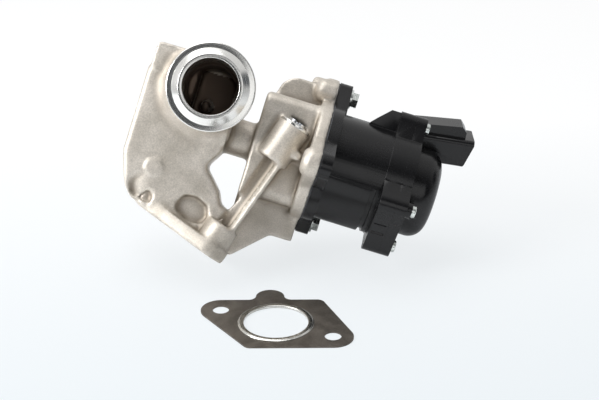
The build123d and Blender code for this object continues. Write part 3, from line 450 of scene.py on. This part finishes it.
knob = ring_mesh(
    "knob", domed(KNOB_R, *KNOB, KNOB_DOME), 32, (0, *KNOB_CENTRE), (1, 0, 0), (0, 1, 0)
)
forms = [set_in_valve(knob)]
for (at_x, at_z, radius), deep in ((DUCT_BOSS, DUCT_BOSS_DEPTH), (PORT_WALL, PORT_WALL_DEPTH)):
    profile = domed(radius, -deep, 0, 0.6)
    form = ring_mesh("far wall", profile, 24, (at_x, BODY_BACK_Y, at_z), (0, 1, 0), (0, 0, 1))
    forms.append(set_in_valve(form))
cast_mesh = regrown(merged_copy("valve_housing", *forms), CAST_GRID)

# The front has a dish at its lower left, by the square of how near a point is to the left
# edge, and the pad a sunk field. A quarter round of a fillet stands up round the neck.
x, y, z = in_valve(read(cast_mesh, cast_mesh.vertices, "co", 3)).T
normal_y = (read(cast_mesh, cast_mesh.vertices, "normal", 3) @ ATTITUDE)[:, 1]
front = (y < BODY_FRONT_Y + 2.5) & (y > BODY_FRONT_Y - 1.5) & (normal_y < -0.3) & (x < -40)
dish = DISH_DEPTH * np.clip(1 - edge_distance(x, z, BODY_LEFT_EDGE) / DISH_REACH, 0, 1) ** 2
for at_x, at_z, reach, rise in DISH_RISES:
    dish = dish - rise * smooth_step(-np.hypot(x - at_x, z - at_z), -reach, -0.35 * reach)
from_dish = np.hypot(x - DISH[0], z - DISH[1])
dish = dish * smooth_step(-from_dish, -DISH_RADII[1], -DISH_RADII[0])
y = np.where(front, y + dish, y)
frame_x, frame_z, frame_w, frame_h = PAD_FRAME
inset = (np.abs(x - frame_x) / frame_w) ** 6 + (np.abs(z - frame_z) / frame_h) ** 6
sunk = PAD_SINK * smooth_step(-inset, -1.4, -0.6)
y = np.where((y < -8) & (normal_y < -0.5), y + sunk, y)
out = np.hypot(x - COLLAR_X, z - COLLAR_Z)
around = np.degrees(np.arctan2(z - COLLAR_Z, x - COLLAR_X)) % 360
starts, ends = FILLET_SWEEP
beside = smooth_step(around, *starts) * smooth_step(-around, -ends[1], -ends[0])
climb = np.clip(1 - (out - NECK_FOOT_R) / NECK_FILLET, 0, 1)
raised = BODY_FRONT_Y + dish - beside * NECK_FILLET * (1 - np.sqrt(1 - climb**2)) * 0.92
neck = (out > NECK_R - 0.6) & (y > -27.5) & (y < BODY_FRONT_Y + 8) & (normal_y < 0.5)
y = np.where(neck & (out < NECK_FOOT_R + NECK_FILLET) & (beside > 0), np.minimum(y, raised), y)
cast_mesh.vertices.foreach_set("co", placed(np.stack([x, y, z], axis=1)).ravel())
cast_mesh.update()

# The skin is relaxed most round the neck's foot and hardly on the ejector's mark.
foot_r, foot_y = FOOT_PLACE
at_foot = smooth_step(-np.abs(out - foot_r), -8, -3) * smooth_step(-np.abs(y - foot_y), -8, -4)
on_mark = np.hypot(x - EJECTOR[0], z - EJECTOR[1]) < EJECTOR[2] + 2
ease = np.full(len(x), EASE)
ease += EASE_FOOT * at_foot
ease = np.where(on_mark & (y < -15), EASE_MARK, ease)
ease = np.where((x > -40) | (z < -34), EASE_BLOCK, ease)
cast_points = in_valve(softened(cast_mesh, CAST_ROUNDS, CAST_MOVE, ease[:, None]))

# Under the machined ring the neck is drawn in, so that the ring covers it.
x, y, z = cast_points.T
out = np.hypot(x - COLLAR_X, z - COLLAR_Z)
under = (y < COLLAR_HIDDEN_Y[1]) & (out < 26) & (out > 1)
scale = np.where(under, np.clip(out, *COLLAR_HIDDEN) / np.maximum(out, 1), 1.0)
cast_points = np.stack(
    [
        COLLAR_X + (x - COLLAR_X) * scale,
        np.where(under, np.maximum(y, COLLAR_HIDDEN_Y[0]), y),
        COLLAR_Z + (z - COLLAR_Z) * scale,
    ],
    axis=1,
)
cast_mesh.vertices.foreach_set("co", placed(cast_points).ravel())

# Painted shade, dark brown, lies on the walls that face inwards: of the collar's bore, of the port
# and of the duct.
port_angle = math.radians(PORT_TILT)
port_down = np.array([-math.sin(port_angle), 0, -math.cos(port_angle)])
cast_normals = read(cast_mesh, cast_mesh.vertices, "normal", 3) @ ATTITUDE
from_collar = (cast_points - np.array([COLLAR_X, 0, COLLAR_Z])) * np.array([1, 0, 1])
from_port = cast_points - np.array(PORT)
depth = -from_port @ port_down
off_port = from_port + depth[:, None] * port_down
y = cast_points[:, 1]


def bore_shade(off_axis, radii, along, reach):
    """1 on the wall of a bore that faces its axis, 0 beyond its radii, and rising from where the
    bore starts to where the painted shade is full."""
    near = smooth_step(-np.linalg.norm(off_axis, axis=1), -radii[1], -radii[0])
    facing = np.sum(off_axis * cast_normals, axis=1) < 0
    return near * smooth_step(along, *reach[:2]) * (along < reach[2]) * facing


inner_shade = np.maximum(
    bore_shade(from_collar, COLLAR_SHADE_R, y, COLLAR_SHADE_Y),
    bore_shade(off_port, PORT_SHADE_R, depth, PORT_SHADE_DEPTH),
)
low, high = np.array(DUCT_INSIDE).T
inside = np.all((cast_points > low) & (cast_points < high), axis=1)
inside &= np.sum((cast_points - np.array(DUCT_MIDDLE)) * cast_normals, axis=1) < -4
inner_shade = np.where(inside, 1.0, inner_shade)
cast_mesh.attributes.new("inner_shade", "FLOAT", "POINT").data.foreach_set("value", inner_shade)
cast_mesh.update()


def valve_place(tree):
    """A pattern's coordinates in the valve's own frame, in millimetres."""
    return add(
        tree,
        "ShaderNodeMapping",
        {
            "vector_type": "TEXTURE",
            "Location": STEM_ORIGIN,
            "Rotation": Matrix(ATTITUDE.tolist()).to_euler(),
            "Scale": (MM, MM, MM),
        },
        Vector=(add(tree, "ShaderNodeTexCoord"), "Object"),
    )


# Shot blasted die cast aluminium: matt, pale warm grey, finely pitted, with broad faint blotches,
# brighter where edges were rubbed, with painted shade, browner, in the hollows, and with dark
# brown painted shade inside the bores and the duct.
cast_aluminium = bpy.data.materials.new("shot blasted die cast aluminium")
tree = new_tree(cast_aluminium)
place = valve_place(tree)
grain = add(
    tree,
    "ShaderNodeTexNoise",
    {"Scale": 1 / CAST_GRAIN_MM, "Detail": 3.0, "Roughness": 0.6},
    Vector=(place, 0),
)
blotch = add(
    tree,
    "ShaderNodeTexNoise",
    {"Scale": 1 / CAST_BLOTCH_MM, "Detail": 3.0, "Roughness": 0.55},
    Vector=(place, 0),
)
tone = add(
    tree, "ShaderNodeMapRange", {"From Min": 0.35, "From Max": 0.65}, Value=(blotch, 0)
)
colour = add(
    tree,
    "ShaderNodeMixRGB",
    {"Color1": linear(CAST_SHADE), "Color2": linear(CAST_PALE)},
    Fac=(tone, 0),
)
speckle = add(
    tree,
    "ShaderNodeMapRange",
    {"From Min": 0.3, "From Max": 0.7, "To Min": 0.8, "To Max": 1.12, "clamp": False},
    Value=(grain, 0),
)
colour = add(
    tree,
    "ShaderNodeMixRGB",
    {"blend_type": "MULTIPLY", "Fac": 1.0},
    Color1=(colour, 0),
    Color2=(speckle, 0),
)
# The first layer lightens rubbed edges; the second and third are painted shade, darker in the
# hollows and dark brown inside the bores and the duct.
for layer, starts, full, most, tint in (
    ("edge", 0.05, 0.45, 0.6, CAST_WORN),
    ("hollow_shade", -0.05, -0.9, 0.8, CAST_HOLLOW_SHADE),
    ("inner_shade", 0.0, 1.0, 0.97, CAST_INNER_SHADE),
):
    sink = add(tree, "ShaderNodeAttribute", {"attribute_name": layer})
    share = add(
        tree,
        "ShaderNodeMapRange",
        {"From Min": starts, "From Max": full, "To Max": most},
        Value=(sink, "Fac"),
    )
    colour = add(
        tree, "ShaderNodeMixRGB", {"Color2": linear(tint)}, Fac=(share, 0), Color1=(colour, 0)
    )
rough = add(tree, "ShaderNodeMapRange", {"To Min": 0.42, "To Max": 0.6}, Value=(grain, 0))
pits = add(tree, "ShaderNodeBump", {"Strength": 0.5, "Distance": 0.06 * MM}, Height=(grain, 0))
surface = add(
    tree,
    "ShaderNodeBsdfPrincipled",
    {"Metallic": 0.75},
    Base_Color=(colour, 0),
    Roughness=(rough, 0),
    Normal=(pits, 0),
)
add(tree, "ShaderNodeOutputMaterial", Surface=(surface, 0))
shown("casting", cast_mesh, cast_aluminium, "valve_base", "cast_aluminium", "valve_housing")

# ---- machined collar ----
# The outlet end of the casting is turned to a flat lip, a sealing cone, a groove and a clamp
# rim, bright against the blasted skin. It is a ring over the softened casting.
COLLAR_PROFILE = [
    (14.78, -17.0),
    (14.78, -39.7),
    (15.08, -40.06),
    (16.8, -40.06),
    (17.05, -39.98),
    (20.42, -36.9),
    (20.5, -36.7),
    (19.9, -36.5),
    (19.9, -36.0),
    (22.9, -35.92),
    (23.4, -35.72),
    (23.6, -35.3),
    (23.6, -32.6),
    (23.2, -32.1),
    (20.6, -29.9),
    (18.2, -29.6),
    (16.6, -29.6),
    (16.0, -17.0),
]
COLLAR_SEGMENTS = 160
TURNED_PALE = "#eeedea"
TURNED_SHADE = "#d2d1cd"
FEED_MM = 0.35                   # drawn coarser than the real feed lines, so that they show
FEED_STRETCH = 0.02              # the lines run on round the axis


def rounded(profile, radius, steps=3):
    """A closed profile with each corner cut to an arc of about a radius, by a quadratic
    curve from one cut point over the corner to the other."""
    p = np.array(profile, float)
    back, ahead = np.roll(p, 1, axis=0) - p, np.roll(p, -1, axis=0) - p
    lengths = [np.linalg.norm(d, axis=1, keepdims=True) for d in (back, ahead)]
    cuts = [d * np.minimum(0.45, radius / n) for d, n in zip((back, ahead), lengths)]
    t = np.linspace(0, 1, steps + 1)[None, :, None]
    arc = (1 - t) ** 2 * cuts[0][:, None] + t**2 * cuts[1][:, None]
    return (p[:, None] + arc).reshape(-1, 2)


# Turned aluminium: bright and smooth, with fine feed lines round it.
turned_aluminium = bpy.data.materials.new("turned aluminium")
tree = new_tree(turned_aluminium)
feed = add(
    tree,
    "ShaderNodeMapping",
    {"Scale": (FEED_STRETCH, 1 / FEED_MM, 1)},
    Vector=(add(tree, "ShaderNodeUVMap", {"uv_map": "turning"}), 0),
)
lines = add(tree, "ShaderNodeTexNoise", {"Scale": 1.0, "Detail": 2.0}, Vector=(feed, 0))
colour = add(
    tree,
    "ShaderNodeMixRGB",
    {"Color1": linear(TURNED_SHADE), "Color2": linear(TURNED_PALE)},
    Fac=(lines, 0),
)
rough = add(tree, "ShaderNodeMapRange", {"To Min": 0.16, "To Max": 0.32}, Value=(lines, 0))
ridges = add(tree, "ShaderNodeBump", {"Strength": 0.25, "Distance": 0.01 * MM}, Height=(lines, 0))
surface = add(
    tree,
    "ShaderNodeBsdfPrincipled",
    {"Metallic": 1.0},
    Base_Color=(colour, 0),
    Roughness=(rough, 0),
    Normal=(ridges, 0),
)
add(tree, "ShaderNodeOutputMaterial", Surface=(surface, 0))

collar_mesh = ring_mesh(
    "machined_collar",
    rounded(COLLAR_PROFILE, 0.12, 2),
    COLLAR_SEGMENTS,
    (COLLAR_X, 0, COLLAR_Z),
    (0, 1, 0),
    (1, 0, 0),
)
set_in_valve(collar_mesh)
shown("machined_collar", collar_mesh, turned_aluminium, "valve_base", "cast_aluminium")

# The long bolt boss is faced flat round its sleeve with the same bright finish.
BOSS_PLACE = (22.87, -22.09)     # across and along the inlet flange, from its port
BOSS_TOP = 84.0
FACED = [(5.5, -1.6), (5.5, 0.0), (5.7, 0.14), (8.5, 0.14), (8.95, -0.3), (8.95, -1.6)]
flange_across = np.array([math.cos(port_angle), 0, -math.sin(port_angle)])
boss_top = np.array(PORT) + BOSS_PLACE[0] * flange_across - BOSS_TOP * port_down
boss_top[1] += BOSS_PLACE[1]
faced = ring_mesh("faced_boss", rounded(FACED, 0.1, 2), 72, boss_top, -port_down, (0, 1, 0))
shown("faced_boss", set_in_valve(faced), turned_aluminium, "valve_base", "cast_aluminium")

# ---- steel inside and on the casting ----
# Seat ring, plug, sleeve, dowel, retainer and lug sleeves are turned or pressed steel parts,
# plated or bare. Poppet and stem are ground stainless steel, the bush is sintered bronze.
METAL_WANDER_MM = 12.0


def worked_metal(name, pale, shade, roughness, line_mm, stretch, ridge_mm):
    """A metal whose marks have one width in millimetres and run a stretch longer round the
    stem than across, and whose tone wanders over a longer way."""
    metal = bpy.data.materials.new(name)
    tree = new_tree(metal)
    place = valve_place(tree)
    run = add(
        tree,
        "ShaderNodeMapping",
        {"Scale": (1 / line_mm, 1 / line_mm / stretch, 1 / line_mm / stretch)},
        Vector=(place, 0),
    )
    marks = add(tree, "ShaderNodeTexNoise", {"Scale": 1.0, "Detail": 2.0}, Vector=(run, 0))
    wander = add(
        tree,
        "ShaderNodeTexNoise",
        {"Scale": 1 / METAL_WANDER_MM, "Detail": 3.0},
        Vector=(place, 0),
    )
    both = add(tree, "ShaderNodeMixRGB", {"Fac": 0.5}, Color1=(marks, 0), Color2=(wander, 0))
    share = add(tree, "ShaderNodeMapRange", {"From Min": 0.35, "From Max": 0.65}, Value=(both, 0))
    colour = add(
        tree,
        "ShaderNodeMixRGB",
        {"Color1": linear(shade), "Color2": linear(pale)},
        Fac=(share, 0),
    )
    rough = add(
        tree,
        "ShaderNodeMapRange",
        {"To Min": roughness * 0.75, "To Max": roughness * 1.3},
        Value=(marks, 0),
    )
    ridges = add(
        tree, "ShaderNodeBump", {"Strength": 0.3, "Distance": ridge_mm * MM}, Height=(marks, 0)
    )
    surface = add(
        tree,
        "ShaderNodeBsdfPrincipled",
        {"Metallic": 1.0},
        Base_Color=(colour, 0),
        Roughness=(rough, 0),
        Normal=(ridges, 0),
    )
    add(tree, "ShaderNodeOutputMaterial", Surface=(surface, 0))
    return metal


def finished(material, *names):
    """Gives carried-over CAD nodes their material."""
    for name in names:
        nodes[name].data.materials.clear()
        nodes[name].data.materials.append(material)


# Bright zinc plate on turned steel, faintly blue.
finished(
    worked_metal("bright zinc plated steel", "#dfe1e3", "#b4b8bc", 0.24, 0.3, 12, 0.01),
    "bolt_sleeve",
    "core_plug",
    "locating_dowel",
    "lug_sleeves",
)
# Phosphated pressed steel, dull dark grey.
finished(
    worked_metal("phosphated pressed steel", "#6b6c6a", "#4c4d4b", 0.55, 0.6, 2, 0.01),
    "spring_retainer",
)
# Turned heat resisting steel, straw tinted by the gas.
finished(
    worked_metal("turned heat resisting steel", "#a39a8d", "#7d7263", 0.34, 0.25, 14, 0.01),
    "valve_seat_ring",
)
# Ground stainless steel, fine lines round the stem.
finished(
    worked_metal("ground stainless steel", "#c9c8c4", "#9f9d98", 0.2, 0.2, 16, 0.006),
    "valve_stem",
    "valve_poppet",
)
# Sintered bronze, dull and porous.
finished(worked_metal("sintered bronze", "#a5804f", "#79592f", 0.5, 0.5, 1, 0.03), "stem_bush")
# Drawn spring steel wire, oiled, dark grey with a soft shine.
finished(
    worked_metal("oiled spring steel wire", "#8b8d8e", "#5f6163", 0.3, 0.4, 1, 0.01),
    "return_spring",
    "plunger_spring",
)

# ---- magnet ----
# Yoke, end plate, pole and armature are soft magnet iron, turned and passivated. The
# armature slides in a drawn brass tube, inside a coil of enamelled copper.
finished(
    worked_metal("passivated magnet iron", "#b9b4a2", "#8b8673", 0.36, 0.3, 12, 0.01),
    "yoke_can",
    "yoke_end_plate",
    "pole_piece",
    "armature",
)
finished(worked_metal("drawn brass", "#d8b970", "#b18f47", 0.26, 0.3, 10, 0.008), "armature_tube")
# Enamelled copper wire: turns 0.6 mm apart across the coil, under a clear amber coat.
finished(
    worked_metal("enamelled copper wire", "#c0703c", "#7c3d1c", 0.28, 0.6, 40, 0.12),
    "coil_winding",
)
# Hot tinned brass blades, soft and bright.
finished(
    worked_metal("hot tinned brass", "#d9dad8", "#b3b4b1", 0.28, 0.4, 3, 0.01), "connector_pins"
)

# ---- actuator shell and sensor cover ----
# Both are injection moulded in glass filled nylon, black and satin, with softly broken
# edges. They meet in a flat joint behind the big cylinder, held by four small screws. Each
# is its node's mesh with its flat faces joined up again and its sharp edges bevelled.
FLAT_WITHIN = 0.5                # degrees, so that only the triangles of one face are joined
SHARP_FROM, BROKEN_FROM = 28, 38   # degrees, of edges shaded sharp and of edges broken
EDGE_WIDTH = 0.35
NYLON_BLACK = "#080809"
NYLON_PALE = "#0f0f11"
NYLON_GRAIN_MM = 0.9             # the spark eroded mould's grain, drawn coarse enough to show
NYLON_FLOW_MM = 22.0


def moulded(name, dark, pale, grain_mm, flow_mm, roughness, pit_mm):
    """A moulded plastic or rubber: its mould's grain, and a gloss that wanders with the
    flow of the melt."""
    plastic = bpy.data.materials.new(name)
    tree = new_tree(plastic)
    place = valve_place(tree)
    grain = add(
        tree,
        "ShaderNodeTexNoise",
        {"Scale": 1 / grain_mm, "Detail": 2.0, "Roughness": 0.55},
        Vector=(place, 0),
    )
    flow = add(
        tree,
        "ShaderNodeTexNoise",
        {"Scale": 1 / flow_mm, "Detail": 3.0, "Distortion": 0.6},
        Vector=(place, 0),
    )
    colour = add(
        tree,
        "ShaderNodeMixRGB",
        {"Color1": linear(dark), "Color2": linear(pale)},
        Fac=(grain, 0),
    )
    both = add(tree, "ShaderNodeMixRGB", {"Fac": 0.6}, Color1=(grain, 0), Color2=(flow, 0))
    rough = add(
        tree,
        "ShaderNodeMapRange",
        {"From Min": 0.3, "From Max": 0.7, "To Min": roughness * 0.8, "To Max": roughness * 1.25},
        Value=(both, 0),
    )
    pits = add(
        tree, "ShaderNodeBump", {"Strength": 0.25, "Distance": pit_mm * MM}, Height=(grain, 0)
    )
    surface = add(
        tree,
        "ShaderNodeBsdfPrincipled",
        {"Specular IOR Level": 0.36},
        Base_Color=(colour, 0),
        Roughness=(rough, 0),
        Normal=(pits, 0),
    )
    add(tree, "ShaderNodeOutputMaterial", Surface=(surface, 0))
    return plastic


# Glass filled nylon: black, satin, with a very fine grain.
black_nylon = moulded(
    "glass filled black nylon", NYLON_BLACK, NYLON_PALE, NYLON_GRAIN_MM, NYLON_FLOW_MM, 0.24, 0.006
)
for node, piece in (("actuator_housing", "actuator_shell"), ("sensor_cover", "sensor_cap")):
    mesh = merged_copy(node)
    work = bmesh.new()
    work.from_mesh(mesh)
    bmesh.ops.dissolve_limit(
        work, angle_limit=math.radians(FLAT_WITHIN), verts=work.verts, edges=work.edges
    )
    work.to_mesh(mesh)
    work.free()
    obj = shown(piece, mesh, black_nylon, "valve_base", "moulded_black_plastic", node)
    mesh.set_sharp_from_angle(angle=math.radians(SHARP_FROM))
    broken = obj.modifiers.new("broken edges", "BEVEL")
    broken.width = EDGE_WIDTH * MM
    broken.segments = 2
    broken.limit_method = "ANGLE"
    broken.angle_limit = math.radians(BROKEN_FROM)

# ---- seals, bobbin and board ----
# The coil's former and the follower are moulded nylon, the stem's seal is PTFE, the cover's
# ring is rubber, and the sensor's board is glass epoxy under a green mask.
finished(
    moulded("natural glass filled nylon", "#c9c1a8", "#ded7c2", 0.6, 15, 0.45, 0.02),
    "coil_bobbin",
    "sensor_plunger",
)
finished(moulded("white PTFE", "#d5d3cb", "#efeee9", 0.5, 10, 0.5, 0.01), "stem_seal")
finished(moulded("black fluoro rubber", "#151515", "#202020", 0.4, 9, 0.6, 0.03), "cover_seal")
finished(
    moulded("green masked glass epoxy", "#0f4a2c", "#1c6a40", 0.8, 8, 0.3, 0.01), "sensor_board"
)
finished(
    moulded("graphite faced gasket sheet", "#3d3e40", "#55565a", 0.5, 9, 0.65, 0.03),
    "joint_gasket",
)

# ---- screws ----
# Hexagon flange screws hold the actuator and small pan head screws hold the cover. They are
# cold headed steel with a bright zinc plate.
finished(
    worked_metal("bright zinc plated screw steel", "#e2e6e2", "#b9bfbc", 0.26, 0.5, 3, 0.02),
    "flange_screws",
    "cover_screws",
)

# ---- loose gasket ----
# The gasket is stamped from coated steel sheet, brown grey and smudged by handling. A bright
# steel ring is rolled over the edge of its port.
SHEET_PALE = "#6f6962"
SHEET_DARK = "#4c4741"
SHEET_GRAIN_PER_MM = 1.5
SHEET_SMUDGE_MM = 14.0
FIRE_RING = (16.4, 19.5)         # inner and outer radius

coated_sheet = bpy.data.materials.new("coated steel gasket sheet")
tree = new_tree(coated_sheet)
sheet_place = add(
    tree,
    "ShaderNodeMapping",
    {"Scale": (1 / MM, 1 / MM, 1 / MM)},
    Vector=(add(tree, "ShaderNodeTexCoord"), "Object"),
)
grain = add(
    tree,
    "ShaderNodeTexNoise",
    {"Scale": SHEET_GRAIN_PER_MM, "Detail": 3.0},
    Vector=(sheet_place, 0),
)
smudge = add(
    tree,
    "ShaderNodeTexNoise",
    {"Scale": 1 / SHEET_SMUDGE_MM, "Detail": 4.0, "Distortion": 1.0},
    Vector=(sheet_place, 0),
)
both = add(tree, "ShaderNodeMixRGB", {"Fac": 0.65}, Color1=(grain, 0), Color2=(smudge, 0))
share = add(tree, "ShaderNodeMapRange", {"From Min": 0.35, "From Max": 0.65}, Value=(both, 0))
colour = add(
    tree,
    "ShaderNodeMixRGB",
    {"Color1": linear(SHEET_DARK), "Color2": linear(SHEET_PALE)},
    Fac=(share, 0),
)
rough = add(tree, "ShaderNodeMapRange", {"To Min": 0.35, "To Max": 0.6}, Value=(both, 0))
pits = add(tree, "ShaderNodeBump", {"Strength": 0.3, "Distance": 0.02 * MM}, Height=(grain, 0))
surface = add(
    tree,
    "ShaderNodeBsdfPrincipled",
    {"Metallic": 0.7},
    Base_Color=(colour, 0),
    Roughness=(rough, 0),
    Normal=(pits, 0),
)
add(tree, "ShaderNodeOutputMaterial", Surface=(surface, 0))
finished(coated_sheet, "inlet_gasket")

# The fire ring is stainless strip folded round the port's edge: a flat bead with a rounded
# outside and a low step where the strip's edge ends.
low, high = np.array(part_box("gasket_fire_ring")) / MM
ring_centre = ((low[0] + high[0]) / 2, (low[1] + high[1]) / 2, low[2])
ring_top = high[2] - low[2]
inner, outer = FIRE_RING
ring_profile = [
    (inner, 0.3),
    (inner, ring_top - 0.25),
    (inner + 0.35, ring_top),
    (outer - 0.9, ring_top),
    (outer - 0.55, ring_top - 0.3),
    (outer - 0.1, ring_top - 0.45),
    (outer, ring_top - 0.7),
    (outer, 0.3),
    (outer - 0.3, 0.0),
    (inner + 0.3, 0.0),
]
ring = ring_mesh(
    "fire_ring", rounded(ring_profile[::-1], 0.2), 128, ring_centre, (0, 0, 1), (1, 0, 0)
)
ring.vertices.foreach_set("co", (read(ring, ring.vertices, "co", 3) * MM).ravel())
ring.update()
rolled_steel = worked_metal("rolled stainless strip", "#d7d6d2", "#a8a7a2", 0.22, 0.4, 6, 0.01)
shown("fire_ring", ring, rolled_steel, "loose_gasket", "fire_ring_steel", "gasket_fire_ring")
